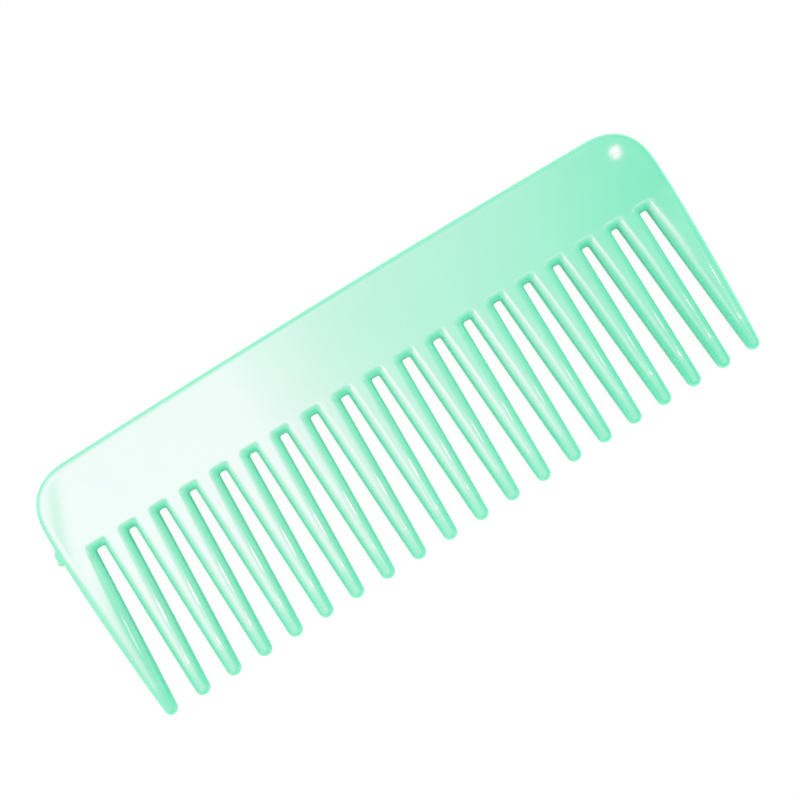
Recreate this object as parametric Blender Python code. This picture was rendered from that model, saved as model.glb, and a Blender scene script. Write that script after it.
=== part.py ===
"""Wide-tooth shampoo comb: one plastic moulding, divided into its back and its 20 teeth.

The comb lies flat. X runs along it, Y runs from the tooth tips to the back edge and Z runs up
through its thickness. The origin is the middle of the back's flat underside. All lengths are in
metres. Both faces are alike, and they meet at a parting line half-way up the thickness, where the
slots are narrowest and the teeth are widest.
"""
import math

import bmesh
import bpy

# Driving dimensions of the whole comb
TEETH = 20
PITCH = 0.0094
BACK_HEIGHT = 0.0253
TOOTH_LENGTH = 0.0467
THICKNESS = 0.0046
BACK_ARCH = 0.0011

# The teeth don't stand quite evenly: their places wander in one slow wave along the comb
SPACING_WAVE = 0.00038
SPACING_WAVE_TEETH = 13.5

# Large round corners at the two ends of the back
CORNER_REACH = 0.0141
CORNER_POWER = 2.5

# Teeth, measured at the parting line
ROOT_WIDTH = 0.00715
TIP_WIDTH = 0.00375
SIDE_BOW = 0.0002
TIP_THICKNESS = 0.0034
TIP_FALL = 0.009
TIP_CROWN = 0.0006

# Guard teeth: how far their root stands out past an ordinary tooth, and how far the tip leans in
GUARD_EXTRA = 0.00225
GUARD_LEAN = 0.0045
LEAN_POWER = 1.5

# The rounded wall from the parting line up to either face
EDGE_RUN = 0.0020
WALL_POWER = 1.7
CROWN_POWER = 3.0

# Slot roots: corner radius at the parting line and at the face, and the seam below them
SLOT_CORNER = 0.0006
SCOOP_CORNER = 0.0012
ROOT_STUB = 0.0010
SEAM_GAP = 0.0003

# Torn gate stub on the left end, measured up from the slot roots and out from the end
STUB_LOW = 0.0009
STUB_HIGH = 0.0061
STUB_REACH = 0.0014
STUB_THICKNESS = 0.0018
STUB_ROOT = 0.0016

# Smoothness of the solids
WALL_STEPS = 3
CORNER_STEPS = 7
ARCH_STEPS = 7
END_STEPS = 3
SLOT_CORNER_STEPS = 3
TIP_ANGLES = (35.0, 65.0)

# Mint-green glossy plastic
PLASTIC_COLOUR = (0.23, 0.80, 0.50, 1.0)
PLASTIC_ROUGHNESS = 0.12
SMOOTH_ANGLE = math.radians(40.0)

# Sizes worked out from the ones above
HALF_THICKNESS = THICKNESS / 2
LAST_TOOTH_X = (TEETH - 1) / 2 * PITCH
HALF_LENGTH = LAST_TOOTH_X + ROOT_WIDTH / 2 + GUARD_EXTRA
CORNER_END_Y = BACK_HEIGHT - BACK_ARCH - CORNER_REACH
CUT_Y = -ROOT_STUB
TOOTH_TOP_Y = CUT_Y - SEAM_GAP
TOOTH_END_Y = -TOOTH_LENGTH


def clear_scene():
    """Remove whatever objects the file holds."""
    for old in list(bpy.data.objects):
        bpy.data.objects.remove(old, do_unlink=True)


def plastic(name):
    """Return a glossy mint-green plastic."""
    material = bpy.data.materials.new(name)
    material.use_nodes = True
    shader = material.node_tree.nodes["Principled BSDF"]
    shader.inputs["Base Color"].default_value = PLASTIC_COLOUR
    shader.inputs["Roughness"].default_value = PLASTIC_ROUGHNESS
    shader.inputs["Metallic"].default_value = 0.0
    material.diffuse_color = PLASTIC_COLOUR
    return material


def wall_levels():
    """Return (inset, height) shares of the rounded wall, from the parting line to the face."""
    levels = []
    for step in range(WALL_STEPS + 1):
        angle = math.pi / 2 * step / WALL_STEPS
        inset = 1.0 - math.cos(angle) ** (2.0 / WALL_POWER)
        height = math.sin(angle) ** (2.0 / WALL_POWER)
        levels.append((inset, height))
    return levels


def tooth_x(tooth):
    """Place of a tooth's centre line; the left guard tooth keeps to the even pitch."""
    even = tooth * PITCH - LAST_TOOTH_X
    if tooth == 0:
        return even
    return even + SPACING_WAVE * math.cos(2.0 * math.pi * tooth / SPACING_WAVE_TEETH)


def back_edge_y(x):
    """Height of the gently arched back edge above the slot roots."""
    return BACK_HEIGHT - BACK_ARCH * (x / HALF_LENGTH) ** 2


def end_x(y):
    """Half the comb's length at height y: straight below the corner, then leaning in to the tip."""
    share = max(0.0, (CORNER_END_Y - y) / (CORNER_END_Y - TOOTH_END_Y))
    return HALF_LENGTH - GUARD_LEAN * share ** LEAN_POWER


def tooth_half_width(y):
    """Half an ordinary tooth's width at height y."""
    share = y / TOOTH_END_Y
    straight = ROOT_WIDTH + (TIP_WIDTH - ROOT_WIDTH) * share
    return (straight + 4.0 * SIDE_BOW * share * (1.0 - share)) / 2


def left_guard_outer_side(y):
    """How far the left guard tooth's outer side stands from its own centre line."""
    return tooth_x(0) + end_x(y)


def right_guard_outer_side(y):
    """How far the right guard tooth's outer side stands from its own centre line."""
    return end_x(y) - tooth_x(TEETH - 1)


def tooth_half_thickness(y):
    """Half a tooth's thickness at height y: full along the tooth, falling away near the tip."""
    tip_radius = TIP_WIDTH / 2
    above_tip = y - TOOTH_END_Y
    fall = min(1.0, max(0.0, (TIP_FALL - above_tip) / (TIP_FALL - tip_radius)))
    return HALF_THICKNESS - (THICKNESS - TIP_THICKNESS) / 2 * fall ** 2


def back_outline():
    """Return the back's outline above the seam, from its right foot round to its left foot."""
    right = []
    for step in range(END_STEPS):
        y = CUT_Y + (CORNER_END_Y - CUT_Y) * step / END_STEPS
        right.append((end_x(y), y))
    corner_x = HALF_LENGTH - CORNER_REACH
    for step in range(CORNER_STEPS + 1):
        angle = math.pi / 2 * (1.0 - step / CORNER_STEPS)
        x = corner_x + CORNER_REACH * math.sin(angle) ** (2.0 / CORNER_POWER)
        drop = CORNER_REACH * (1.0 - max(0.0, math.cos(angle)) ** (2.0 / CORNER_POWER))
        right.append((x, back_edge_y(x) - drop))
    for step in range(1, ARCH_STEPS + 1):
        x = corner_x * (1.0 - step / ARCH_STEPS)
        right.append((x, back_edge_y(x)))
    left = [(-x, y) for x, y in reversed(right[:-1])]
    return right + left


def inward_directions(outline):
    """Return the unit direction into the back at each outline point; the feet move along the seam."""
    directions = []
    last = len(outline) - 1
    for index, (x, _) in enumerate(outline):
        if index in (0, last):
            directions.append((-math.copysign(1.0, x), 0.0))
            continue
        before = outline[index - 1]
        after = outline[index + 1]
        along_x = after[0] - before[0]
        along_y = after[1] - before[1]
        length = math.hypot(along_x, along_y)
        directions.append((-along_y / length, along_x / length))
    return directions


def add_ring(mesh, points):
    """Add the points to the mesh and return their vertices."""
    return [mesh.verts.new(point) for point in points]


def bridge(mesh, lower, upper):
    """Join two closed rings of as many vertices with quads."""
    count = len(lower)
    for index in range(count):
        following = (index + 1) % count
        mesh.faces.new((lower[index], lower[following], upper[following], upper[index]))


def finish_mesh(mesh, name):
    """Turn the faces outwards, shade them smooth and return the finished mesh data."""
    bmesh.ops.recalc_face_normals(mesh, faces=mesh.faces)
    data = bpy.data.meshes.new(name)
    mesh.to_mesh(data)
    mesh.free()
    data.shade_smooth()
    data.set_sharp_from_angle(angle=SMOOTH_ANGLE)
    return data


def back_mesh():
    """Plate with a rounded edge all round except along its foot, where the teeth leave it."""
    outline = back_outline()
    directions = inward_directions(outline)
    levels = wall_levels()
    layers = [(inset, -height) for inset, height in reversed(levels)] + levels[1:]
    mesh = bmesh.new()
    rings = []
    for inset, height in layers:
        run = EDGE_RUN * inset
        points = []
        for (x, y), (inward_x, inward_y) in zip(outline, directions):
            points.append((x + inward_x * run, y + inward_y * run, HALF_THICKNESS * height))
        rings.append(add_ring(mesh, points))
    for lower, upper in zip(rings, rings[1:]):
        for index in range(len(outline) - 1):
            mesh.faces.new((lower[index], lower[index + 1], upper[index + 1], upper[index]))
    mesh.faces.new(rings[0])
    mesh.faces.new(rings[-1])
    right_foot = [ring[0] for ring in rings]
    left_foot = [ring[-1] for ring in reversed(rings)]
    mesh.faces.new(right_foot + left_foot)
    return finish_mesh(mesh, "back")


def slot_outline(slot_half, inset):
    """Outline of a slot's root at one level of its wall, from 0 at the parting line to 1 at a face."""
    run = EDGE_RUN * inset
    half = slot_half + run
    radius = min(half, SLOT_CORNER + (SCOOP_CORNER - SLOT_CORNER) * inset)
    below = CUT_Y - slot_half
    right = [(half, below)]
    for step in range(SLOT_CORNER_STEPS + 1):
        angle = math.pi / 2 * step / SLOT_CORNER_STEPS
        x = half - radius + radius * math.cos(angle)
        y = run - radius + radius * math.sin(angle)
        right.append((x, y))
    left = [(-x, y) for x, y in reversed(right)]
    return right + left


def slot_cutter_mesh():
    """All slot roots as one set of cutters, waisted at the parting line like an hourglass."""
    levels = wall_levels()
    below_face = levels[-2]
    face = levels[-1]
    beyond = tuple(2.0 * face[part] - below_face[part] for part in (0, 1))
    half_layers = levels[:-1] + [beyond]
    layers = [(inset, -height) for inset, height in reversed(half_layers)] + half_layers[1:]
    mesh = bmesh.new()
    for slot in range(TEETH - 1):
        centre = (tooth_x(slot) + tooth_x(slot + 1)) / 2
        slot_half = (tooth_x(slot + 1) - tooth_x(slot) - ROOT_WIDTH) / 2
        rings = []
        for inset, height in layers:
            outline = slot_outline(slot_half, inset)
            points = [(centre + x, y, HALF_THICKNESS * height) for x, y in outline]
            rings.append(add_ring(mesh, points))
        for lower, upper in zip(rings, rings[1:]):
            bridge(mesh, lower, upper)
        mesh.faces.new(rings[0])
        mesh.faces.new(rings[-1])
    return finish_mesh(mesh, "slot_cutter")


def gate_stub_mesh():
    """Torn stub: it swells slowly from its top and ends in a ragged lip at its foot."""
    span = STUB_HIGH - STUB_LOW
    profile = (
        (0.00, STUB_HIGH),
        (0.32, STUB_LOW + 0.79 * span),
        (0.77, STUB_LOW + 0.58 * span),
        (0.66, STUB_LOW + 0.34 * span),
        (1.00, STUB_LOW + 0.15 * span),
        (0.90, STUB_LOW + 0.04 * span),
        (0.00, STUB_LOW),
    )
    mesh = bmesh.new()
    rings = []
    for height, spread in ((-1.0, 0.75), (-0.6, 1.0), (0.6, 1.0), (1.0, 0.75)):
        points = []
        for reach, y in profile:
            points.append((-end_x(y) - STUB_REACH * reach * spread, y, STUB_THICKNESS / 2 * height))
        points.append((-end_x(STUB_LOW) + STUB_ROOT, STUB_LOW, STUB_THICKNESS / 2 * height))
        points.append((-end_x(STUB_HIGH) + STUB_ROOT, STUB_HIGH, STUB_THICKNESS / 2 * height))
        rings.append(add_ring(mesh, points))
    for lower, upper in zip(rings, rings[1:]):
        bridge(mesh, lower, upper)
    mesh.faces.new(rings[0])
    mesh.faces.new(rings[-1])
    return finish_mesh(mesh, "gate_stub")


def section_ring(centre, half_width, half_thickness, crown, y):
    """Points round a tooth's section: parting line, rounded wall, flat crown, on both faces."""
    run = half_width - crown
    quarter = [(half_width - run * inset, half_thickness * height) for inset, height in wall_levels()]
    upper = quarter + [(-x, z) for x, z in reversed(quarter)]
    lower = [(x, -z) for x, z in reversed(upper[1:-1])]
    return [(centre + x, y, z) for x, z in upper + lower]


def tooth_stations():
    """Heights at which a tooth's section is drawn, from its root to where the tip rounds off."""
    tip_start = TOOTH_END_Y + TIP_WIDTH / 2
    fall_start = TOOTH_END_Y + TIP_FALL
    shaft = [TOOTH_TOP_Y + (fall_start - TOOTH_TOP_Y) * share for share in (0.0, 0.33, 0.67, 1.0)]
    return shaft + [(fall_start + tip_start) / 2, tip_start]


def tooth_mesh(name, left_side, right_side):
    """Loft a tooth between its two sides, which are functions of y, and round its tip."""
    mesh = bmesh.new()
    rings = []
    root_half = (left_side(TOOTH_TOP_Y) + right_side(TOOTH_TOP_Y)) / 2
    root_crown = root_half - min(EDGE_RUN, root_half)
    stations = tooth_stations()
    for y in stations:
        share = y / TOOTH_END_Y
        centre = (right_side(y) - left_side(y)) / 2
        half_width = (right_side(y) + left_side(y)) / 2
        crown = root_crown * (1.0 - share) ** CROWN_POWER + TIP_CROWN / 2 * share
        crown = min(crown, half_width / 2)
        ring = section_ring(centre, half_width, tooth_half_thickness(y), crown, y)
        rings.append(add_ring(mesh, ring))
    tip_start = stations[-1]
    centre = (right_side(tip_start) - left_side(tip_start)) / 2
    half_width = (right_side(tip_start) + left_side(tip_start)) / 2
    crown = min(TIP_CROWN / 2, half_width / 2)
    for degrees in TIP_ANGLES:
        shrink = math.cos(math.radians(degrees))
        y = tip_start - (tip_start - TOOTH_END_Y) * math.sin(math.radians(degrees))
        half_thickness = tooth_half_thickness(tip_start) * shrink
        ring = section_ring(centre, half_width * shrink, half_thickness, crown * shrink, y)
        rings.append(add_ring(mesh, ring))
    for lower, upper in zip(rings, rings[1:]):
        bridge(mesh, lower, upper)
    mesh.faces.new(rings[0])
    pole = mesh.verts.new((centre, TOOTH_END_Y, 0.0))
    last = rings[-1]
    for index, vertex in enumerate(last):
        mesh.faces.new((vertex, last[(index + 1) % len(last)], pole))
    return finish_mesh(mesh, name)


def add_object(name, data, parent, x=0.0):
    """Place a mesh under the comb's empty, with a plastic of its own."""
    piece = bpy.data.objects.new(name, data)
    bpy.context.scene.collection.objects.link(piece)
    piece.parent = parent
    piece.location = (x, 0.0, 0.0)
    if not data.materials:
        data.materials.append(None)
    piece.material_slots[0].link = "OBJECT"
    piece.material_slots[0].material = plastic(name + "_plastic")
    return piece


def add_boolean(piece, name, operation, data, parent):
    """Cut or join the piece with a hidden helper solid."""
    helper = bpy.data.objects.new(name, data)
    bpy.context.scene.collection.objects.link(helper)
    helper.parent = parent
    helper.hide_render = True
    helper.display_type = "WIRE"
    modifier = piece.modifiers.new(name, "BOOLEAN")
    modifier.operation = operation
    modifier.solver = "EXACT"
    modifier.object = helper


def build_back(comb):
    """The plate with its notched foot and the gate stub."""
    back = add_object("back", back_mesh(), comb)
    add_boolean(back, "slot_cutter", "DIFFERENCE", slot_cutter_mesh(), comb)
    add_boolean(back, "gate_stub", "UNION", gate_stub_mesh(), comb)


def build_teeth(comb):
    """Two guard teeth at the ends and a row of like teeth between them."""
    guard_left = tooth_mesh("guard_tooth_left", left_guard_outer_side, tooth_half_width)
    guard_right = tooth_mesh("guard_tooth_right", tooth_half_width, right_guard_outer_side)
    inner = tooth_mesh("inner_tooth", tooth_half_width, tooth_half_width)
    add_object("guard_tooth_left", guard_left, comb, x=tooth_x(0))
    add_object("guard_tooth_right", guard_right, comb, x=tooth_x(TEETH - 1))
    for number in range(1, TEETH - 1):
        add_object(f"tooth_{number:02d}", inner, comb, x=tooth_x(number))


def main():
    """Build the comb under one empty on the slot-root line, at the height of the parting line."""
    clear_scene()
    comb = bpy.data.objects.new("comb", None)
    bpy.context.scene.collection.objects.link(comb)
    comb.location = (0.0, -BACK_HEIGHT / 2, HALF_THICKNESS)
    build_back(comb)
    build_teeth(comb)


main()
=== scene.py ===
"""Looks of a wide-tooth shampoo comb: a glossy mint-green moulding on a white table.

All lengths are in metres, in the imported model's own frame. X runs along the comb, Y from the tooth
tips to the back edge, and Z up from the face that lies on the table. The skin of the moulding is
one smooth surface, divided where the teeth leave the back, and both sides of it meet there.
"""

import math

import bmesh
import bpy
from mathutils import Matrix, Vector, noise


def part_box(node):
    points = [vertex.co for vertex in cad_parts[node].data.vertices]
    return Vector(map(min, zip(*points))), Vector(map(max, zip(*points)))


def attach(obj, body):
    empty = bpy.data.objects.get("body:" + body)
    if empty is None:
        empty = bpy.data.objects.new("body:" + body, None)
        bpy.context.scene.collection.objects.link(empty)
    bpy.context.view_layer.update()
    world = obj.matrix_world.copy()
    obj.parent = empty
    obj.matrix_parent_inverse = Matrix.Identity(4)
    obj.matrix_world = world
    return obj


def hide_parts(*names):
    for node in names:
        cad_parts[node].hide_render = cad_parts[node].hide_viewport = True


bl_info = {
    "name": "Shampoo comb",
    "version": (1, 0, 0),
    "blender": (4, 5, 0),
    "location": "3D View > Sidebar > Comb",
    "description": "Builds a wide-tooth shampoo comb of glossy plastic, and a small studio for it",
    "category": "Object",
}

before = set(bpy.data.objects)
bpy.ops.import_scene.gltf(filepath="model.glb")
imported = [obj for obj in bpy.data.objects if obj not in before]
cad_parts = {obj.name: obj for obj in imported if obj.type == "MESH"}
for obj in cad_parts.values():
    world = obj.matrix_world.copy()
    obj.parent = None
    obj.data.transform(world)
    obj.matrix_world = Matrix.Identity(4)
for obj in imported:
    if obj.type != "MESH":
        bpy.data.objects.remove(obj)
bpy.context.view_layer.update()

# Sizes read from the frame
BACK_LOW, BACK_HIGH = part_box("back")
FIRST_LOW, FIRST_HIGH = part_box("tooth_01")
INNER_TEETH = sorted(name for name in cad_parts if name.startswith("tooth_"))
TEETH = len(INNER_TEETH) + 2
THICKNESS = BACK_HIGH.z - BACK_LOW.z
HALF_THICKNESS = THICKNESS / 2
HALF_LENGTH = BACK_HIGH.x
BACK_HEIGHT = 2 * BACK_HIGH.y


def teeth_centres():
    """Return the x of each tooth's centre line, which for a guard tooth is that of its inner half."""
    half_tooth = (FIRST_HIGH.x - FIRST_LOW.x) / 2
    centres = [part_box("guard_tooth_left")[1].x - half_tooth]
    for name in INNER_TEETH:
        low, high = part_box(name)
        centres.append((low.x + high.x) / 2)
    centres.append(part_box("guard_tooth_right")[0].x + half_tooth)
    return centres


TOOTH_X = teeth_centres()
PITCH = (TOOTH_X[-1] - TOOTH_X[0]) / (TEETH - 1)

# Heights are measured up from the line of the slot roots
ROOT_LINE = -BACK_HIGH.y
SEAM = (BACK_LOW.y + FIRST_HIGH.y) / 2 - ROOT_LINE
TIP = FIRST_LOW.y - ROOT_LINE

# How finely the skin is divided
WALL_STEPS = 9
CROWN_STEPS = 6
SLOT_TOP_STEPS = 6
CORNER_ARC_STEPS = 5
NECK_STEPS = 4
SHAFT_STEPS = 22
TIP_STEPS = 8
STUB_ROW = 0.0003
END_ROWS_ABOVE_STUB = 5
CORNER_ROWS = 9
WELD = 1e-7


class CombSizes(bpy.types.PropertyGroup):
    """Sizes of the moulding that the frame doesn't give."""

    root_width: bpy.props.FloatProperty(
        name="Root width", description="Width of a tooth at the slot roots, at the parting line",
        default=0.00715, subtype="DISTANCE", unit="LENGTH")
    tip_width: bpy.props.FloatProperty(
        name="Tip width", description="Width of a tooth where its round tip begins",
        default=0.00375, subtype="DISTANCE", unit="LENGTH")
    side_bow: bpy.props.FloatProperty(
        name="Side bow", description="How far a tooth is fuller at mid-length than a straight taper",
        default=0.0002, subtype="DISTANCE", unit="LENGTH")
    tip_thickness: bpy.props.FloatProperty(
        name="Tip thickness", description="Thickness of a tooth where its round tip begins",
        default=0.0034, subtype="DISTANCE", unit="LENGTH")
    tip_fall: bpy.props.FloatProperty(
        name="Tip fall", description="Length over which a tooth thins towards its tip",
        default=0.009, subtype="DISTANCE", unit="LENGTH")
    tip_crown: bpy.props.FloatProperty(
        name="Tip crown", description="Width of the flat crown that is left at a tooth's tip",
        default=0.0006, subtype="DISTANCE", unit="LENGTH")
    guard_lean: bpy.props.FloatProperty(
        name="Guard lean", description="How far the outer side of a guard tooth leans in at its tip",
        default=0.0045, subtype="DISTANCE", unit="LENGTH")
    back_arch: bpy.props.FloatProperty(
        name="Back arch", description="Rise of the back edge from the ends to the middle",
        default=0.0011, subtype="DISTANCE", unit="LENGTH")
    corner_reach: bpy.props.FloatProperty(
        name="Corner reach", description="How far each round corner of the back reaches",
        default=0.0141, subtype="DISTANCE", unit="LENGTH")
    edge_run: bpy.props.FloatProperty(
        name="Edge run", description="Width of the rounded wall between parting line and face",
        default=0.0020, subtype="DISTANCE", unit="LENGTH")
    slot_corner: bpy.props.FloatProperty(
        name="Slot corner", description="Corner radius of a slot root at the parting line",
        default=0.0006, subtype="DISTANCE", unit="LENGTH")
    scoop_corner: bpy.props.FloatProperty(
        name="Scoop corner", description="Corner radius of a slot root where it meets the face",
        default=0.0012, subtype="DISTANCE", unit="LENGTH")
    crown_drop: bpy.props.FloatProperty(
        name="Crown drop", description="How far the crown of a tooth lies below the face of the back",
        default=0.00001, subtype="DISTANCE", unit="LENGTH")
    sink: bpy.props.FloatProperty(
        name="Sink", description="Depth of the shallow waves that cooling leaves in the faces",
        default=0.00003, subtype="DISTANCE", unit="LENGTH")


class CombFinish(bpy.types.PropertyGroup):
    """Colour and finish of the plastic."""

    colour: bpy.props.FloatVectorProperty(
        name="Colour", description="Colour of the pigment in the plastic",
        default=(0.125, 0.86, 0.510, 1.0), size=4, min=0.0, max=1.0, subtype="COLOR")
    clouding: bpy.props.FloatProperty(
        name="Clouding", description="How much the pigment varies in soft clouds and flow marks",
        default=0.06, min=0.0, max=1.0, subtype="FACTOR")
    roughness: bpy.props.FloatProperty(
        name="Roughness", description="Roughness of the polished surface where it is clearest",
        default=0.025, min=0.0, max=1.0, subtype="FACTOR")
    haze: bpy.props.FloatProperty(
        name="Haze", description="Roughness that handling adds where the surface is dullest",
        default=0.02, min=0.0, max=1.0, subtype="FACTOR")
    peel: bpy.props.FloatProperty(
        name="Orange peel", description="Height of the fine waves in the surface, in micrometres",
        default=0.5, min=0.0)
    scratches: bpy.props.FloatProperty(
        name="Scratches", description="Depth of the hairline scratches, in micrometres",
        default=0.8, min=0.0)
    parting_line: bpy.props.FloatProperty(
        name="Parting line",
        description="Height of the line that the mould's two halves leave, in micrometres",
        default=25.0, min=0.0)


# Fixed proportions of the outline and of the rounded wall
CORNER_POWER = 2.5
LEAN_POWER = 1.5
WALL_POWER = 1.7
CROWN_POWER = 3.0
SINK_WAVELENGTH = 0.022
ROOT_RIPPLE = 0.3
ROOT_RIPPLE_REACH = 0.0025

# Torn gate stub on the left end: (height above the slot roots, reach out of the end)
STUB_PROFILE = (
    (0.0009, 0.00000),
    (0.0012, 0.00120),
    (0.0017, 0.00138),
    (0.0022, 0.00115),
    (0.0027, 0.00092),
    (0.0032, 0.00108),
    (0.0039, 0.00104),
    (0.0046, 0.00072),
    (0.0050, 0.00042),
    (0.0054, 0.00014),
    (0.0061, 0.00000),
)
STUB_HALF_THICKNESS = 0.0009


def between(low, high, share):
    """Return the value that lies share of the way from low to high."""
    return low + (high - low) * share


def smooth_step(share):
    """Ease from 0 to 1 as share goes from 0 to 1."""
    share = max(0.0, min(1.0, share))
    return share * share * (3.0 - 2.0 * share)


def wall_levels():
    """Return (inset, height) shares of the rounded wall, from the parting line to the face."""
    levels = []
    for step in range(WALL_STEPS + 1):
        angle = math.pi / 2 * step / WALL_STEPS
        inset = 1.0 - max(0.0, math.cos(angle)) ** (2.0 / WALL_POWER)
        height = math.sin(angle) ** (2.0 / WALL_POWER)
        levels.append((inset, height))
    return levels


LEVELS = wall_levels()


class CombShape:
    """Formulas of the moulding: its outline at the parting line and its thickness."""

    def __init__(self, sizes):
        self.root_width = sizes.root_width
        self.tip_width = sizes.tip_width
        self.side_bow = sizes.side_bow
        self.tip_thickness = sizes.tip_thickness
        self.tip_fall = sizes.tip_fall
        self.tip_crown = sizes.tip_crown
        self.guard_lean = sizes.guard_lean
        self.back_arch = sizes.back_arch
        self.corner_reach = sizes.corner_reach
        self.edge_run = sizes.edge_run
        self.slot_corner = sizes.slot_corner
        self.scoop_corner = sizes.scoop_corner
        self.crown_drop = sizes.crown_drop
        self.sink = sizes.sink
        self.corner_end = BACK_HEIGHT - self.back_arch - self.corner_reach

    def back_edge(self, x):
        """Height of the gently arched back edge."""
        return BACK_HEIGHT - self.back_arch * (x / HALF_LENGTH) ** 2

    def end_x(self, y):
        """Half the comb's length at height y: straight below the corner, then leaning in."""
        share = max(0.0, (self.corner_end - y) / (self.corner_end - TIP))
        return HALF_LENGTH - self.guard_lean * share ** LEAN_POWER

    def half_width(self, y):
        """Half an ordinary tooth's width at height y; it stays the same above the slot roots."""
        share = max(0.0, y / TIP)
        straight = between(self.root_width, self.tip_width, share)
        return (straight + 4.0 * self.side_bow * share * (1.0 - share)) / 2

    def sides(self, tooth, y):
        """Return the x of a tooth's left and right side at height y."""
        centre = TOOTH_X[tooth]
        left = -self.end_x(y) if tooth == 0 else centre - self.half_width(y)
        right = self.end_x(y) if tooth == TEETH - 1 else centre + self.half_width(y)
        return left, right

    def wall_run(self, tooth, y):
        """Width of a tooth's rounded walls: as on the back at the root, nearly all of it lower down."""
        if y >= 0.0:
            return self.edge_run
        share = y / TIP
        root_left, root_right = self.sides(tooth, 0.0)
        left, right = self.sides(tooth, y)
        half_width = (right - left) / 2
        root_crown = (root_right - root_left) / 2 - self.edge_run
        crown = root_crown * (1.0 - share) ** CROWN_POWER + self.tip_crown / 2 * share
        return half_width - min(crown, half_width / 2)

    def face_height(self, x, y):
        """Half the thickness at the face or the crown, with the drop to the teeth and the sinks."""
        reach = self.edge_run
        drop = self.crown_drop * (1.0 - smooth_step(y / reach))
        wave = 0.5 + 0.5 * noise.noise(Vector((x, y, 0.0)) / SINK_WAVELENGTH)
        above = max(0.0, y - reach)
        ripple = math.cos(2.0 * math.pi * x / PITCH) * math.exp(-above / ROOT_RIPPLE_REACH)
        sink = self.sink * (wave + ROOT_RIPPLE * (1.0 + ripple) / 2)
        tip_start = TIP + self.tip_width / 2
        fall = min(1.0, max(0.0, (TIP + self.tip_fall - y) / (TIP + self.tip_fall - tip_start)))
        thin = (THICKNESS - self.tip_thickness) / 2 * fall ** 2
        return HALF_THICKNESS - max(drop + sink * (1.0 - fall), thin)

    def corner_radius(self, inset):
        """Corner radius of a slot root at one level of its wall."""
        return between(self.slot_corner, self.scoop_corner, inset)


def stub_reach(y):
    """How far the torn gate stub stands out of the left end at height y."""
    for (low, low_reach), (high, high_reach) in zip(STUB_PROFILE, STUB_PROFILE[1:]):
        if low <= y <= high:
            return between(low_reach, high_reach, (y - low) / (high - low))
    return 0.0


def add_patch(mesh, rows):
    """Add a grid of quads for the upper half of the skin, and its mirror image for the lower half."""
    for side in (1.0, -1.0):
        grid = []
        for row in rows:
            places = [(x, y + ROOT_LINE, HALF_THICKNESS + side * z) for x, y, z in row]
            grid.append([mesh.verts.new(place) for place in places])
        for lower, upper in zip(grid, grid[1:]):
            for index in range(len(lower) - 1):
                mesh.faces.new((lower[index], lower[index + 1], upper[index + 1], upper[index]))


def close_piece(mesh, name):
    """Weld the patches, close the cuts at the seam and return a smooth mesh with sharp cuts."""
    bmesh.ops.remove_doubles(mesh, verts=mesh.verts, dist=WELD)
    open_edges = [edge for edge in mesh.edges if edge.is_boundary]
    caps = bmesh.ops.holes_fill(mesh, edges=open_edges, sides=0)["faces"]
    bmesh.ops.recalc_face_normals(mesh, faces=mesh.faces)
    for face in mesh.faces:
        face.smooth = True
    for cap in caps:
        cap.smooth = False
        for edge in cap.edges:
            edge.smooth = False
    data = bpy.data.meshes.new(name)
    mesh.to_mesh(data)
    mesh.free()
    return data


def slot_strip(shape, slot):
    """Wall round the root of a slot, from the seam on its left side to the seam on its right side."""
    centre = (TOOTH_X[slot] + TOOTH_X[slot + 1]) / 2
    rows = []
    for inset, height in LEVELS:
        run = shape.edge_run * inset
        radius = shape.corner_radius(inset)
        arc_start = run - radius
        left = []
        for step in range(NECK_STEPS):
            y = between(SEAM, arc_start, step / NECK_STEPS)
            side_run = shape.wall_run(slot, y) * inset
            left.append((shape.sides(slot, y)[1] - side_run - centre, y))
        for step in range(CORNER_ARC_STEPS + 1):
            angle = math.pi / 2 * step / CORNER_ARC_STEPS
            y = arc_start + radius * math.sin(angle)
            side = shape.sides(slot, y)[1] - shape.wall_run(slot, y) * inset - centre
            left.append((side + radius * (1.0 - math.cos(angle)), y))
        corner_x = left[-1][0]
        shares = [step / SLOT_TOP_STEPS for step in range(1, SLOT_TOP_STEPS)]
        top = [(between(corner_x, -corner_x, share), run) for share in shares]
        right = [(-x, y) for x, y in reversed(left)]
        row = []
        for x, y in left + top + right:
            row.append((centre + x, y, shape.face_height(centre + x, y) * height))
        rows.append(row)
    return rows


def end_heights(shape):
    """Heights of the outline's points on an end, from the seam to where its round corner begins."""
    top_of_neck = shape.edge_run
    arc_start = top_of_neck - shape.scoop_corner
    heights = [between(SEAM, arc_start, step / NECK_STEPS) for step in range(NECK_STEPS)]
    for step in range(CORNER_ARC_STEPS + 1):
        angle = math.pi / 2 * step / CORNER_ARC_STEPS
        heights.append(arc_start + shape.scoop_corner * math.sin(angle))
    stub_top = STUB_PROFILE[-1][0]
    stub_rows = math.ceil((stub_top - top_of_neck) / STUB_ROW)
    for step in range(1, stub_rows + 1):
        heights.append(between(top_of_neck, stub_top, step / stub_rows))
    for step in range(1, END_ROWS_ABOVE_STUB + 1):
        heights.append(between(stub_top, shape.corner_end, step / END_ROWS_ABOVE_STUB))
    return heights


def corner_drop(shape, x):
    """How far the round corner lies below the arched back edge at x."""
    into_corner = max(0.0, abs(x) - (HALF_LENGTH - shape.corner_reach)) / shape.corner_reach
    return shape.corner_reach * (1.0 - (1.0 - into_corner ** CORNER_POWER) ** (1.0 / CORNER_POWER))


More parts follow.
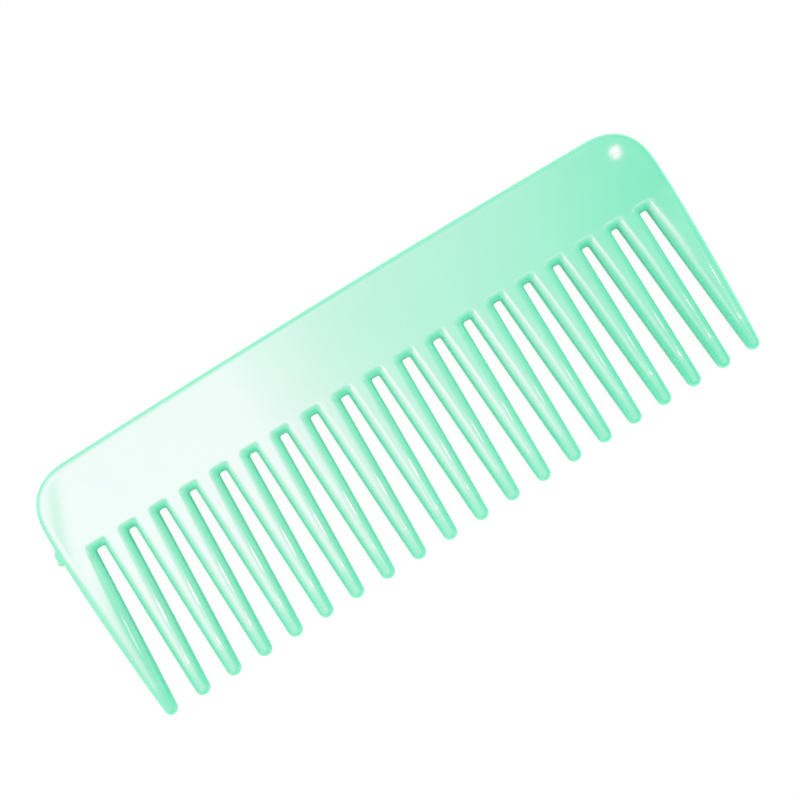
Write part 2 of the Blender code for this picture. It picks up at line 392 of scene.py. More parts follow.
def right_end_outline(shape):
    """The right end's outline, from the seam up to the middle of its round corner."""
    points = [(shape.end_x(y), y) for y in end_heights(shape)]
    corner_x = HALF_LENGTH - shape.corner_reach
    for step in range(1, CORNER_ROWS + 1):
        angle = math.pi / 4 * step / CORNER_ROWS
        x = corner_x + shape.corner_reach * math.cos(angle) ** (2.0 / CORNER_POWER)
        drop = shape.corner_reach * (1.0 - math.sin(angle) ** (2.0 / CORNER_POWER))
        points.append((x, shape.back_edge(x) - drop))
    return points


def face_line(necks, slots):
    """Points of the line on which the slots end, from the left end to the right, at face level."""
    line = []
    for tooth in range(TEETH):
        line += necks[tooth][-1]
        if tooth < TEETH - 1:
            middle = NECK_STEPS + CORNER_ARC_STEPS
            line += slots[tooth][-1][middle + 1:middle + SLOT_TOP_STEPS]
    return line


def edge_band(shape, line):
    """Rounded wall along both ends and the back edge: rows of points from parting line to face."""
    right_end = right_end_outline(shape)
    split_x = right_end[-1][0]
    stretch = split_x / line[-1][0]
    top = []
    for x, _, _ in reversed(line[1:-1]):
        x = x * stretch
        top.append((x, shape.back_edge(x) - corner_drop(shape, x)))
    outline = right_end + top + [(-x, y) for x, y in reversed(right_end)]
    last = len(outline) - 1
    rows = []
    for inset, height in LEVELS:
        row = []
        for index, (x, y) in enumerate(outline):
            before = outline[max(0, index - 1)]
            after = outline[min(last, index + 1)]
            along = Vector((after[0] - before[0], after[1] - before[1])).normalized()
            inward = Vector((-along.y, along.x))
            if index in (0, last):
                inward = Vector((-math.copysign(1.0, x), 0.0))
            run = shape.edge_run * inset
            if y < 0.0:
                run = shape.wall_run(0, y) * inset
            place = Vector((x, y)) + inward * run
            level_z = HALF_THICKNESS * height
            if x < 0.0 and level_z < STUB_HALF_THICKNESS:
                share = 1.0 - (level_z / STUB_HALF_THICKNESS) ** 2
                place.x -= stub_reach(y) * math.sqrt(share)
            row.append((place.x, place.y, shape.face_height(place.x, place.y) * height))
        rows.append(row)
    return rows


def neck_rows(left_line, right_line, shape):
    """Crown of a tooth's root: straight rows between the walls on its two sides."""
    rows = []
    for (left_x, left_y, _), (right_x, right_y, _) in zip(left_line, right_line):
        row = []
        for step in range(CROWN_STEPS + 1):
            x = between(left_x, right_x, step / CROWN_STEPS)
            y = between(left_y, right_y, step / CROWN_STEPS)
            row.append((x, y, shape.face_height(x, y)))
        rows.append(row)
    return rows


def coons_patch(shape, bottom, top, left, right):
    """Fill the face of the back between four lines of points."""
    rows = []
    for row_index in range(len(left)):
        up = row_index / (len(left) - 1)
        row = []
        for index in range(len(bottom)):
            across = index / (len(bottom) - 1)
            place = []
            for axis in (0, 1):
                vertical = between(bottom[index][axis], top[index][axis], up)
                level = between(left[row_index][axis], right[row_index][axis], across)
                lower = between(bottom[0][axis], bottom[-1][axis], across)
                upper = between(top[0][axis], top[-1][axis], across)
                place.append(vertical + level - between(lower, upper, up))
            row.append((place[0], place[1], shape.face_height(place[0], place[1])))
        rows.append(row)
    return rows


def back_mesh(shape):
    """The whole back above the seam, as one closed skin."""
    mesh = bmesh.new()
    slots = [slot_strip(shape, slot) for slot in range(TEETH - 1)]
    neck_points = NECK_STEPS + CORNER_ARC_STEPS + 1
    end_x_at_face = []
    for y in end_heights(shape)[:neck_points]:
        x = shape.end_x(y) - shape.edge_run
        end_x_at_face.append((x, y, shape.face_height(x, y)))

    # The band is spaced by the face's lower line, so the end teeth get a rough neck before their own
    rough_necks = []
    for tooth in range(TEETH):
        left_line = [(-x, y, z) for x, y, z in end_x_at_face]
        right_line = end_x_at_face
        if tooth > 0:
            left_line = list(reversed(slots[tooth - 1][-1][-neck_points:]))
        if tooth < TEETH - 1:
            right_line = slots[tooth][-1][:neck_points]
        rough_necks.append(neck_rows(left_line, right_line, shape))
    band = edge_band(shape, face_line(rough_necks, slots))
    inner = band[-1]
    right_line = inner[:neck_points]
    left_line = list(reversed(inner[-neck_points:]))
    necks = list(rough_necks)
    necks[0] = neck_rows(left_line, slots[0][-1][:neck_points], shape)
    necks[-1] = neck_rows(list(reversed(slots[-1][-1][-neck_points:])), right_line, shape)
    line = face_line(necks, slots)
    end_count = len(right_end_outline(shape))
    right_side = inner[neck_points - 1:end_count]
    left_side = list(reversed(inner[-end_count:]))[neck_points - 1:]
    top = list(reversed(inner[end_count - 1:len(inner) - end_count + 1]))
    for slot in slots:
        add_patch(mesh, slot)
    for neck in necks:
        add_patch(mesh, neck)
    add_patch(mesh, band)
    add_patch(mesh, coons_patch(shape, line, top, left_side, right_side))
    return close_piece(mesh, "back_skin")


def tooth_mesh(shape, tooth, name):
    """A tooth from the seam to its round tip, as one closed skin."""
    mesh = bmesh.new()
    fall_start = TIP + shape.tip_fall
    tip_start = TIP + shape.tip_width / 2
    heights = [between(SEAM, fall_start, step / SHAFT_STEPS) for step in range(SHAFT_STEPS)]
    fall_steps = math.ceil(SHAFT_STEPS * (fall_start - tip_start) / (SEAM - fall_start))
    heights += [between(fall_start, tip_start, step / fall_steps) for step in range(fall_steps + 1)]
    rows = []
    for y in heights:
        rows.append(section_row(shape, tooth, y))
    tip_left, tip_right = shape.sides(tooth, tip_start)
    tip_centre = (tip_left + tip_right) / 2
    for step in range(1, TIP_STEPS + 1):
        angle = math.pi / 2 * step / TIP_STEPS
        shrink = max(0.0, math.cos(angle))
        y = tip_start - (tip_start - TIP) * math.sin(angle)
        row = []
        for x, _, z in rows[len(heights) - 1]:
            row.append((tip_centre + (x - tip_centre) * shrink, y, z * shrink))
        rows.append(row)
    add_patch(mesh, rows)
    bmesh.ops.remove_doubles(mesh, verts=mesh.verts, dist=WELD)
    bmesh.ops.dissolve_degenerate(mesh, edges=mesh.edges, dist=WELD)
    return close_piece(mesh, name)


def section_row(shape, tooth, y):
    """Upper half of a tooth's section, from its left parting line over the crown to its right one."""
    left, right = shape.sides(tooth, y)
    run = shape.wall_run(tooth, y)
    points = [(left + run * inset, height) for inset, height in LEVELS]
    for step in range(1, CROWN_STEPS):
        points.append((between(left + run, right - run, step / CROWN_STEPS), 1.0))
    points += [(right - run * inset, height) for inset, height in reversed(LEVELS)]
    return [(x, y, shape.face_height(x, y) * height) for x, height in points]


def place_piece(name, data, node, material):
    """Put a piece of the skin in the scene, in place of its CAD node."""
    piece = bpy.data.objects.new(name, data)
    bpy.context.scene.collection.objects.link(piece)
    data.materials.append(material)
    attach(piece, "root")
    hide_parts(node)
    return piece


# Sizes of the patterns in the plastic, in metres, and the unit of the bump heights
CLOUD_SIZE = 0.018
FLOW_SIZE = 0.011
GRAIN_SIZE = 0.0008
HAZE_SIZE = 0.03
PEEL_SIZE = 0.0011
WAVE_SIZE = 0.006
SCRATCH_LENGTH = 0.03
SCRATCH_WIDTH = 0.00035
PARTING_WIDTH = 0.00012
MICROMETRE = 1e-6

# Pigment: flow marks and grain against the clouds, and the middle of the three added up
CLOUD_DETAIL = 3.0
FLOW_SHARE = 0.4
GRAIN_SHARE = 0.3
PATTERN_MIDDLE = 0.85

# Surface: waves against orange peel, and where in their noise haze and scratches begin and are full
HAZE_DETAIL = 4.0
HAZE_RANGE = (0.35, 0.65)
WAVE_SHARE = 4.0
SCRATCH_ANGLES = (0.45, -0.25)
SCRATCH_RANGE = (0.70, 0.76)

# Reflections, matched to the photograph: stronger and redder head-on than those of a plain plastic
PLASTIC_IOR = 2.1
SPECULAR_LEVEL = 1.0
SPECULAR_TINT = (1.0, 0.21, 0.61, 1.0)
SHEEN_WEIGHT = 0.8
SHEEN_ROUGHNESS = 0.4
SHEEN_TINT = (0.30, 1.0, 0.65, 1.0)


def new_group(name, inputs, outputs):
    """Make a node group and return it with its inner input and output sockets."""
    group = bpy.data.node_groups.new(name, "ShaderNodeTree")
    for label, kind in inputs:
        group.interface.new_socket(name=label, in_out="INPUT", socket_type=kind)
    for label, kind in outputs:
        group.interface.new_socket(name=label, in_out="OUTPUT", socket_type=kind)
    inner = group.nodes.new("NodeGroupInput").outputs
    return group, inner, group.nodes.new("NodeGroupOutput").inputs


def map_range(tree, value, low, high, to_low, to_high, smooth=False):
    """Add a clamped Map Range node and return its result."""
    node = tree.nodes.new("ShaderNodeMapRange")
    node.interpolation_type = "SMOOTHSTEP" if smooth else "LINEAR"
    node.inputs["From Min"].default_value = low
    node.inputs["From Max"].default_value = high
    node.inputs["To Min"].default_value = to_low
    node.inputs["To Max"].default_value = to_high
    tree.links.new(value, node.inputs["Value"])
    return node.outputs["Result"]


def maths(tree, operation, first, second=0.0):
    """Add a Math node; each operand is a socket or a number."""
    node = tree.nodes.new("ShaderNodeMath")
    node.operation = operation
    for socket, value in zip(node.inputs, (first, second)):
        if isinstance(value, (int, float)):
            socket.default_value = value
        else:
            tree.links.new(value, socket)
    return node.outputs["Value"]


def noise_pattern(tree, vector, size, detail):
    """Add a noise whose features are about as wide as the given size."""
    node = tree.nodes.new("ShaderNodeTexNoise")
    node.inputs["Scale"].default_value = 1.0 / size
    node.inputs["Detail"].default_value = detail
    tree.links.new(vector, node.inputs["Vector"])
    return node.outputs["Fac"]


def stretched(tree, vector, angle, scale):
    """Turn and stretch a pattern's coordinates."""
    node = tree.nodes.new("ShaderNodeMapping")
    node.inputs["Rotation"].default_value = (0.0, 0.0, angle)
    node.inputs["Scale"].default_value = scale
    tree.links.new(vector, node.inputs["Vector"])
    return node.outputs["Vector"]


def vector_maths(tree, operation, first, second, output="Vector"):
    """Add a Vector Math node; the second operand is a socket or a constant vector."""
    node = tree.nodes.new("ShaderNodeVectorMath")
    node.operation = operation
    tree.links.new(first, node.inputs[0])
    if isinstance(second, tuple):
        node.inputs[1].default_value = second
    elif second is not None:
        tree.links.new(second, node.inputs["Scale" if operation == "SCALE" else 1])
    return node.outputs[output]


def pigment_group():
    """Colour of the pigment, with soft clouds, flow marks round the gate and fine grain."""
    group, given, result = new_group(
        "moulded_pigment",
        (("Colour", "NodeSocketColor"), ("Clouding", "NodeSocketFloat"), ("Place", "NodeSocketVector")),
        (("Colour", "NodeSocketColor"),))
    place = given["Place"]
    gate = (-HALF_LENGTH, ROOT_LINE, HALF_THICKNESS)
    from_gate = vector_maths(group, "DISTANCE", place, gate, "Value")
    ring = group.nodes.new("ShaderNodeCombineXYZ")
    group.links.new(from_gate, ring.inputs["X"])
    clouds = noise_pattern(group, place, CLOUD_SIZE, CLOUD_DETAIL)
    flow = noise_pattern(group, ring.outputs["Vector"], FLOW_SIZE, 1.0)
    grain = noise_pattern(group, place, GRAIN_SIZE, 1.0)
    pattern = maths(group, "ADD", clouds, maths(group, "MULTIPLY", flow, FLOW_SHARE))
    pattern = maths(group, "ADD", pattern, maths(group, "MULTIPLY", grain, GRAIN_SHARE))
    offset = maths(group, "SUBTRACT", pattern, PATTERN_MIDDLE)
    share = maths(group, "ADD", maths(group, "MULTIPLY", offset, given["Clouding"]), 1.0)
    group.links.new(vector_maths(group, "SCALE", given["Colour"], share), result["Colour"])
    return group


def finish_group():
    """Haze of the polished surface, and its height: fine waves, hairline scratches, parting line."""
    group, given, result = new_group(
        "moulded_finish",
        (("Roughness", "NodeSocketFloat"), ("Haze", "NodeSocketFloat"), ("Peel", "NodeSocketFloat"),
         ("Scratches", "NodeSocketFloat"), ("Parting Line", "NodeSocketFloat"),
         ("Place", "NodeSocketVector")),
        (("Roughness", "NodeSocketFloat"), ("Height", "NodeSocketFloat")))
    place = given["Place"]
    handling = noise_pattern(group, place, HAZE_SIZE, HAZE_DETAIL)
    haze = map_range(group, handling, *HAZE_RANGE, 0.0, 1.0, smooth=True)
    group.links.new(
        maths(group, "ADD", given["Roughness"], maths(group, "MULTIPLY", haze, given["Haze"])),
        result["Roughness"])
    peel = noise_pattern(group, place, PEEL_SIZE, 1.0)
    waves = maths(group, "MULTIPLY", noise_pattern(group, place, WAVE_SIZE, 0.0), WAVE_SHARE)
    height = maths(group, "MULTIPLY", maths(group, "ADD", peel, waves), given["Peel"])
    for angle in SCRATCH_ANGLES:
        long_way = (SCRATCH_WIDTH / SCRATCH_LENGTH, 1.0, 1.0)
        lines = noise_pattern(group, stretched(group, place, angle, long_way), SCRATCH_WIDTH, 0.0)
        line = map_range(group, lines, *SCRATCH_RANGE, 0.0, 1.0, smooth=True)
        height = maths(group, "SUBTRACT", height, maths(group, "MULTIPLY", line, given["Scratches"]))
    axes = group.nodes.new("ShaderNodeSeparateXYZ")
    group.links.new(place, axes.inputs["Vector"])
    off_line = maths(group, "ABSOLUTE", maths(group, "SUBTRACT", axes.outputs["Z"], HALF_THICKNESS))
    ridge = map_range(group, off_line, 0.0, PARTING_WIDTH, 1.0, 0.0, smooth=True)
    ridge = maths(group, "MULTIPLY", ridge, given["Parting Line"])
    group.links.new(maths(group, "ADD", height, ridge), result["Height"])
    return group


def add_group(tree, group, place, values):
    """Put a node group in a material with its own values."""
    node = tree.nodes.new("ShaderNodeGroup")
    node.node_tree = group
    for label, value in values.items():
        node.inputs[label].default_value = value
    tree.links.new(place, node.inputs["Place"])
    return node.outputs


def comb_plastic(context):
    """Return the comb's plastic, made once and shared by all its pieces."""
    material = bpy.data.materials.get("mint_plastic")
    if material is None:
        finish = context.scene.comb_finish
        material = bpy.data.materials.new("mint_plastic")
        material.use_nodes = True
        tree = material.node_tree
        shader = tree.nodes["Principled BSDF"]
        place = tree.nodes.new("ShaderNodeTexCoord").outputs["Object"]
        pigment = add_group(tree, pigment_group(), place, {
            "Colour": finish.colour, "Clouding": finish.clouding})
        surface = add_group(tree, finish_group(), place, {
            "Roughness": finish.roughness, "Haze": finish.haze, "Peel": finish.peel,
            "Scratches": finish.scratches, "Parting Line": finish.parting_line})
        bump = tree.nodes.new("ShaderNodeBump")
        bump.inputs["Strength"].default_value = 1.0
        bump.inputs["Distance"].default_value = MICROMETRE
        tree.links.new(pigment["Colour"], shader.inputs["Base Color"])
        tree.links.new(surface["Roughness"], shader.inputs["Roughness"])
        tree.links.new(surface["Height"], bump.inputs["Height"])
        tree.links.new(bump.outputs["Normal"], shader.inputs["Normal"])
        shader.inputs["IOR"].default_value = PLASTIC_IOR
        shader.inputs["Specular IOR Level"].default_value = SPECULAR_LEVEL
        shader.inputs["Specular Tint"].default_value = SPECULAR_TINT
        shader.inputs["Sheen Weight"].default_value = SHEEN_WEIGHT
        shader.inputs["Sheen Roughness"].default_value = SHEEN_ROUGHNESS
        shader.inputs["Sheen Tint"].default_value = SHEEN_TINT
    return material


# The tent, which only mirror rays see. Its brightness behind and in front of the comb is matched to the
# reflections in the photograph, as stops of (how far a direction points along +X, brightness).
REAR_TENT = ((-1.0, 1.0), (-0.90, 1.5), (-0.75, 2.05), (-0.62, 2.45), (-0.50, 2.83), (-0.30, 3.05),
             (-0.10, 2.97), (-0.075, 2.65), (0.01, 1.90), (0.09, 1.51), (0.17, 1.29), (0.25, 1.03),
             (0.32, 0.70), (0.354, 0.55), (0.45, 0.52), (0.60, 0.50), (0.80, 0.35), (1.0, 0.2))
FRONT_TENT = ((-1.0, 0.75), (-0.85, 1.0), (-0.65, 1.15), (-0.45, 1.2), (-0.35, 1.38), (-0.25, 1.58),
              (-0.15, 1.52), (-0.05, 1.36), (0.15, 1.30), (0.35, 1.2), (0.55, 1.1), (0.65, 0.95),
              (0.85, 0.65), (1.0, 0.4))
TENT_PEAK = 3.2

# How far a direction points along +Y where the tent's front begins to turn into its rear, and ends
TENT_TURNS = (-0.11, 0.11)

# Level of the even light that all other rays see, at table height and overhead
EVEN_LIGHT_LOW = 1.9
EVEN_LIGHT_HIGH = 0.95

# How the tent darkens towards the front and the back, by how far a direction points along +Y
DEPTH_FALL = ((-1.0, 0.12), (-0.91, 0.28), (-0.78, 0.50), (-0.53, 0.72), (-0.25, 0.82), (-0.12, 1.0),
              (0.24, 1.0), (0.42, 0.94), (0.57, 0.84), (0.70, 0.73), (0.82, 0.64), (0.95, 0.48),
              (1.0, 0.38))

# Small lamps and soft glows: direction along X and Y, half its size along X and Y, brightness
LAMPS = {
    "side lamp": ((0.55, 0.041), (0.10, 0.010), 3.6),
    "long lamp": ((0.35, 0.001), (0.12, 0.0060), 5.2),
    "corner lamp": ((0.3446, 0.2068), (0.0050, 0.0071), 3.4),
    "side glow": ((0.42, 0.04), (0.36, 0.10), 0.35),
    "far glow": ((0.85, 0.02), (0.25, 0.12), 0.35),
    "rear glow": ((0.25, 0.62), (0.40, 0.42), 0.28),
}

# A lamp is full to the first of these and gone at the second, as squares of the distance in half sizes
LAMP_EDGE = (0.5, 1.2)

# Seam of the tent: a line across it, X = start + slope * Y, half its soft width, the share of light
# that is left on it, and the Y over which it fades out
SEAM_START = -0.3822
SEAM_SLOPE = 0.40
SEAM_HALF = 0.0095
SEAM_SHADE = 0.62
SEAM_END = (0.205, 0.245)


def tent_ramp(tree, value, stops, peak):
    """Brightness from one side to the other as a colour ramp, whose white stands for the peak."""
    ramp = tree.nodes.new("ShaderNodeValToRGB")
    ramp.color_ramp.interpolation = "LINEAR"
    elements = ramp.color_ramp.elements
    for place, _ in stops[1:-1]:
        elements.new((place + 1.0) / 2)
    for element, (_, brightness) in zip(elements, stops):
        share = brightness / peak
        element.color = (share, share, share, 1.0)
    tree.links.new(value, ramp.inputs["Fac"])
    return ramp.outputs["Color"]


def mix_colours(tree, factor, first, second):
    """Add a colour mix and return its result."""
    node = tree.nodes.new("ShaderNodeMix")
    node.data_type = "RGBA"
    sockets = {socket.identifier: socket for socket in list(node.inputs) + list(node.outputs)}
    tree.links.new(factor, sockets["Factor_Float"])
    tree.links.new(first, sockets["A_Color"])
    tree.links.new(second, sockets["B_Color"])
    return sockets["Result_Color"]


def lamp_patch(tree, direction, centre, half_size):
    """Soft-edged oval patch of light round a direction, from its X and Y."""
    parts = []
    for axis, middle, half in zip("XY", centre, half_size):
        offset = maths(tree, "SUBTRACT", direction.outputs[axis], middle)
        scaled = maths(tree, "DIVIDE", offset, half)
        parts.append(maths(tree, "MULTIPLY", scaled, scaled))
    return map_range(tree, maths(tree, "ADD", *parts), *LAMP_EDGE, 1.0, 0.0)


def tent_seam(tree, direction):
    """Share of light that is left along the tent's seam, where two cloths overlap."""
    line = maths(tree, "MULTIPLY", direction.outputs["Y"], SEAM_SLOPE)
    line = maths(tree, "ADD", line, SEAM_START)
    offset = maths(tree, "ABSOLUTE", maths(tree, "SUBTRACT", direction.outputs["X"], line))
    near = map_range(tree, offset, 0.0, SEAM_HALF, 1.0, 0.0, smooth=True)
    reach = map_range(tree, direction.outputs["Y"], *SEAM_END, 1.0, 0.0, smooth=True)
    return map_range(tree, maths(tree, "MULTIPLY", near, reach), 0.0, 1.0, 1.0, SEAM_SHADE)


def studio_world():
    """Mirror rays see a white tent, brightest on the left; all other rays see an even light."""
    world = bpy.data.worlds.new("studio")
    world.use_nodes = True
    tree = world.node_tree
    coordinates = tree.nodes.new("ShaderNodeTexCoord")
    direction = tree.nodes.new("ShaderNodeSeparateXYZ")
    tree.links.new(coordinates.outputs["Generated"], direction.inputs["Vector"])
    along = map_range(tree, direction.outputs["X"], -1.0, 1.0, 0.0, 1.0)
    rear = tent_ramp(tree, along, REAR_TENT, TENT_PEAK)
    front = tent_ramp(tree, along, FRONT_TENT, TENT_PEAK)
    turn = map_range(tree, direction.outputs["Y"], *TENT_TURNS, 0.0, 1.0, smooth=True)
    tent = mix_colours(tree, turn, front, rear)
    across = map_range(tree, direction.outputs["Y"], -1.0, 1.0, 0.0, 1.0)
    brightness = maths(tree, "MULTIPLY", tent, tent_ramp(tree, across, DEPTH_FALL, 1.0))
    brightness = maths(tree, "MULTIPLY", brightness, tent_seam(tree, direction))
    for centre, half_size, strength in LAMPS.values():
        patch = lamp_patch(tree, direction, centre, half_size)
        lit = maths(tree, "MULTIPLY", patch, strength / TENT_PEAK)
        brightness = maths(tree, "ADD", brightness, lit)
    even_low = EVEN_LIGHT_LOW / TENT_PEAK
    even_high = EVEN_LIGHT_HIGH / TENT_PEAK
    even = map_range(tree, direction.outputs["Z"], 0.0, 1.0, even_low, even_high)
    path = tree.nodes.new("ShaderNodeLightPath")
    seen = mix_colours(tree, path.outputs["Is Glossy Ray"], even, brightness)
    tree.links.new(seen, tree.nodes["Background"].inputs["Color"])
    tree.nodes["Background"].inputs["Strength"].default_value = TENT_PEAK
    return world


# Table: half its side, its tone to all rays but mirror rays, its tone to those, and how much of what
# the camera sees of it is plain white
FLOOR_HALF = 1.2
CARD_WHITE = 0.95
CARD_IN_MIRROR = 0.60
WHITE_SHARE = 0.94


def white_table():
    """White table that stays white to the camera, and takes the comb's soft shadow."""
    material = bpy.data.materials.new("white_table")
    material.use_nodes = True
    tree = material.node_tree
    tree.nodes.remove(tree.nodes["Principled BSDF"])
    path = tree.nodes.new("ShaderNodeLightPath")
    table_card_and_painted_lift = tree.nodes.new("ShaderNodeBsdfDiffuse")
    tone = map_range(tree, path.outputs["Is Glossy Ray"], 0.0, 1.0, CARD_WHITE, CARD_IN_MIRROR)
    tree.links.new(tone, table_card_and_painted_lift.inputs["Color"])
    glow = tree.nodes.new("ShaderNodeEmission")
    seen = maths(tree, "MAXIMUM", path.outputs["Is Camera Ray"], path.outputs["Is Transmission Ray"])
    mix = tree.nodes.new("ShaderNodeMixShader")
    tree.links.new(maths(tree, "MULTIPLY", seen, WHITE_SHARE), mix.inputs["Fac"])
    tree.links.new(table_card_and_painted_lift.outputs["BSDF"], mix.inputs[1])
    tree.links.new(glow.outputs["Emission"], mix.inputs[2])
    tree.links.new(mix.outputs["Shader"], tree.nodes["Material Output"].inputs["Surface"])
    return material


# Sheet 1.2 mm above the comb with painted shade and painted light for mirror rays alone: opposite
# corners, and its height
SHADE_SHEET_BOX = ((-0.105, -0.090), (0.130, 0.004))
SHADE_SHEET_HEIGHT = 0.0058

# Painted shade over the right half: it holds back the light in the reflections the more, the lower it
# comes in from the left
RIGHT_SHADE_TILT = math.radians(20.0)
RIGHT_SHADE = (0.10, 0.72)
RIGHT_SHADE_FADE = 0.85
RIGHT_SHADE_SOFT_X = (0.025, 0.065)
RIGHT_SHADE_SOFT_Y = (-0.004, -0.026)

# Painted shade that deepens towards the right end, for the light from overhead
END_TILT = math.radians(-3.0)
END_SHADE = 0.58
END_FADE = 0.09
END_SOFT_X = (0.045, 0.089)
END_SOFT_Y = (-0.018, -0.036)

# Painted shade over the inner half of the guard tooth at the left end, and where the painted lift takes
# over
GUARD_SHADE = 0.40
GUARD_SOFT_X = (-0.0918, -0.0892)
GUARD_SOFT_Y = (-0.016, -0.034)
GUARD_END_X = (-0.0865, -0.0835)

# Painted light: a lift of the reflections on the other teeth of the left half, for light from their
# right
PAINTED_LIFT_TILT = math.radians(23.5)
PAINTED_LIFT = 0.5
PAINTED_LIFT_FADE = 0.10
PAINTED_LIFT_SOFT_X = (0.018, -0.006)
PAINTED_LIFT_SOFT_Y = (-0.010, -0.016)

# Camera: lens and sensor in millimetres, then the point it looks at, its place, and its right-hand side
LENS = 43.38
SENSOR_WIDTH = 36.0
CAMERA_AIM = (0.00234, -0.02128, 0.0023)
CAMERA_PLACE = (-0.00784, -0.0515, 0.25469)
CAMERA_RIGHT = (0.84917, -0.52733, -0.02889)


def tilted_facing(tree, tilt):
    """How far a ray is from a direction that leans to the right by an angle; 0 is right along it."""
    lean = tree.nodes.new("ShaderNodeCombineXYZ")
    lean.inputs["X"].default_value = math.sin(tilt)
    lean.inputs["Z"].default_value = math.cos(tilt)
    weight = tree.nodes.new("ShaderNodeLayerWeight")
    tree.links.new(lean.outputs["Vector"], weight.inputs["Normal"])
    return weight.outputs["Facing"]


def soft_area(tree, place, soft_x, soft_y):
    """Share from 0 to 1 of an area whose soft edges run from their first value to their second."""
    shares = []
    for axis, (outside, inside) in (("X", soft_x), ("Y", soft_y)):
        low, high = sorted((outside, inside))
        ends = (0.0, 1.0) if outside < inside else (1.0, 0.0)
        shares.append(map_range(tree, place.outputs[axis], low, high, *ends, smooth=True))
    return maths(tree, "MULTIPLY", *shares)


def painted_shade_film():
    """Film that changes mirror rays alone: painted shade and painted light over the comb's reflections.
    """
    material = bpy.data.materials.new("painted_shade_film")
    material.use_nodes = True
    tree = material.node_tree
    tree.nodes.remove(tree.nodes["Principled BSDF"])
    place = tree.nodes.new("ShaderNodeSeparateXYZ")
    tree.links.new(tree.nodes.new("ShaderNodeNewGeometry").outputs["Position"], place.inputs["Vector"])
    mirror = tree.nodes.new("ShaderNodeLightPath").outputs["Is Glossy Ray"]

    # Painted shade on the right half, by place and by direction of the mirror ray
    right_shade = map_range(tree, tilted_facing(tree, RIGHT_SHADE_TILT), 0.0, RIGHT_SHADE_FADE, *RIGHT_SHADE)
    right_shade = maths(tree, "MULTIPLY", right_shade, soft_area(tree, place, RIGHT_SHADE_SOFT_X, RIGHT_SHADE_SOFT_Y))
    # Painted shade towards the right end, and over the guard tooth at the left end
    end = map_range(tree, tilted_facing(tree, END_TILT), 0.0, END_FADE, END_SHADE, 0.0, smooth=True)
    end = maths(tree, "MULTIPLY", end, soft_area(tree, place, END_SOFT_X, END_SOFT_Y))
    beyond_guard = map_range(tree, place.outputs["X"], *GUARD_END_X, 0.0, 1.0, smooth=True)
    over_guard = map_range(tree, beyond_guard, 0.0, 1.0, GUARD_SHADE, 0.0)
    guard = maths(tree, "MULTIPLY", soft_area(tree, place, GUARD_SOFT_X, GUARD_SOFT_Y), over_guard)
    # Painted light that lifts the reflections on the teeth of the left half
    table_card_and_painted_lift = map_range(tree, tilted_facing(tree, PAINTED_LIFT_TILT), 0.0, PAINTED_LIFT_FADE, -PAINTED_LIFT, 0.0, smooth=True)
    table_card_and_painted_lift = maths(tree, "MULTIPLY", table_card_and_painted_lift, soft_area(tree, place, PAINTED_LIFT_SOFT_X, PAINTED_LIFT_SOFT_Y))
    table_card_and_painted_lift = maths(tree, "MULTIPLY", table_card_and_painted_lift, beyond_guard)
    clear = 1.0
    for shade in (right_shade, end, guard, table_card_and_painted_lift):
        held_back = maths(tree, "MULTIPLY", shade, mirror)
        clear = maths(tree, "MULTIPLY", clear, maths(tree, "SUBTRACT", 1.0, held_back))

    film = tree.nodes.new("ShaderNodeBsdfTransparent")
    tree.links.new(clear, film.inputs["Color"])
    tree.links.new(film.outputs["BSDF"], tree.nodes["Material Output"].inputs["Surface"])
    return material


def flat_sheet(name, low, high, z, material):
    """A level rectangle that belongs to the stage."""
    mesh = bmesh.new()
    corners = ((low[0], low[1]), (high[0], low[1]), (high[0], high[1]), (low[0], high[1]))
    mesh.faces.new([mesh.verts.new((x, y, z)) for x, y in corners])
    data = bpy.data.meshes.new(name)
    mesh.to_mesh(data)
    mesh.free()
    data.materials.append(material)
    sheet = bpy.data.objects.new(name, data)
    bpy.context.scene.collection.objects.link(sheet)
    return sheet


class COMB_OT_back(bpy.types.Operator):
    """Build the back of the comb"""

    bl_idname = "comb.back"
    bl_label = "Back"

    def execute(self, context):
        shape = CombShape(context.scene.comb_sizes)
        place_piece("back_skin", back_mesh(shape), "back", comb_plastic(context))
        return {"FINISHED"}


class COMB_OT_teeth(bpy.types.Operator):
    """Build the row of teeth and the guard tooth at each end"""

    bl_idname = "comb.teeth"
    bl_label = "Teeth"

    def execute(self, context):
        shape = CombShape(context.scene.comb_sizes)
        nodes = ["guard_tooth_left"] + INNER_TEETH + ["guard_tooth_right"]
        for tooth, node in enumerate(nodes):
            name = node + "_skin"
            place_piece(name, tooth_mesh(shape, tooth, name), node, comb_plastic(context))
        return {"FINISHED"}


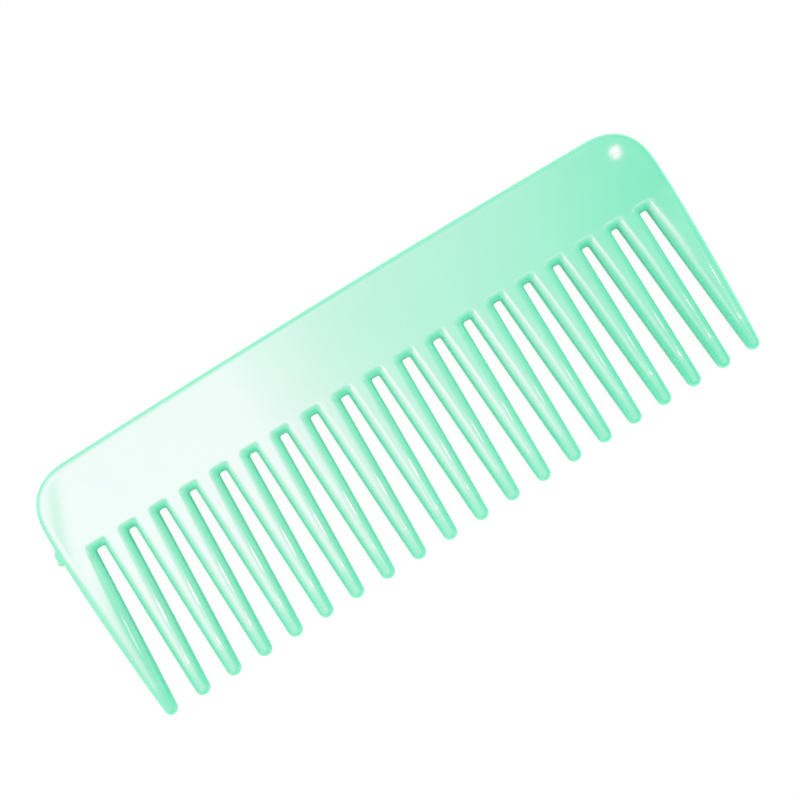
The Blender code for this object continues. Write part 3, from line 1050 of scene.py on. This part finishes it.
class COMB_OT_stage(bpy.types.Operator):
    """Build the white table, the light and the camera"""

    bl_idname = "comb.stage"
    bl_label = "Stage"

    def execute(self, context):
        camera_data = bpy.data.cameras.new("camera")
        camera = bpy.data.objects.new("camera", camera_data)
        context.scene.collection.objects.link(camera)
        context.scene.camera = camera
        camera_data.lens = LENS
        camera_data.sensor_width = SENSOR_WIDTH
        place = Vector(CAMERA_PLACE)
        back = (place - Vector(CAMERA_AIM)).normalized()
        right = Vector(CAMERA_RIGHT).normalized()
        up = back.cross(right)
        camera.matrix_world = Matrix((
            (right.x, up.x, back.x, place.x),
            (right.y, up.y, back.y, place.y),
            (right.z, up.z, back.z, place.z),
            (0.0, 0.0, 0.0, 1.0),
        ))
        context.scene.world = studio_world()
        flat_sheet("floor", (-FLOOR_HALF, -FLOOR_HALF), (FLOOR_HALF, FLOOR_HALF), 0.0, white_table())
        # Sheet of painted shade and painted light, close over the comb
        flat_sheet("painted_shade_sheet", *SHADE_SHEET_BOX, SHADE_SHEET_HEIGHT, painted_shade_film())
        context.scene.view_settings.view_transform = "Standard"
        return {"FINISHED"}


class COMB_PT_sidebar(bpy.types.Panel):
    """Sidebar panel with the comb's sizes and the buttons that build it"""

    bl_idname = "COMB_PT_sidebar"
    bl_label = "Shampoo comb"
    bl_space_type = "VIEW_3D"
    bl_region_type = "UI"
    bl_category = "Comb"

    def draw(self, context):
        for settings in (context.scene.comb_sizes, context.scene.comb_finish):
            for name in type(settings).__annotations__:
                self.layout.prop(settings, name)
        for operator in (COMB_OT_back, COMB_OT_teeth, COMB_OT_stage):
            self.layout.operator(operator.bl_idname)


CLASSES = (CombSizes, CombFinish, COMB_OT_back, COMB_OT_teeth, COMB_OT_stage, COMB_PT_sidebar)


def register():
    for cls in CLASSES:
        bpy.utils.register_class(cls)
    bpy.types.Scene.comb_sizes = bpy.props.PointerProperty(type=CombSizes)
    bpy.types.Scene.comb_finish = bpy.props.PointerProperty(type=CombFinish)


def unregister():
    del bpy.types.Scene.comb_finish
    del bpy.types.Scene.comb_sizes
    for cls in reversed(CLASSES):
        bpy.utils.unregister_class(cls)


def main():
    """Build the comb and its stage."""
    register()
    bpy.ops.comb.back()
    bpy.ops.comb.teeth()
    bpy.ops.comb.stage()


if __name__ == "__main__":
    main()
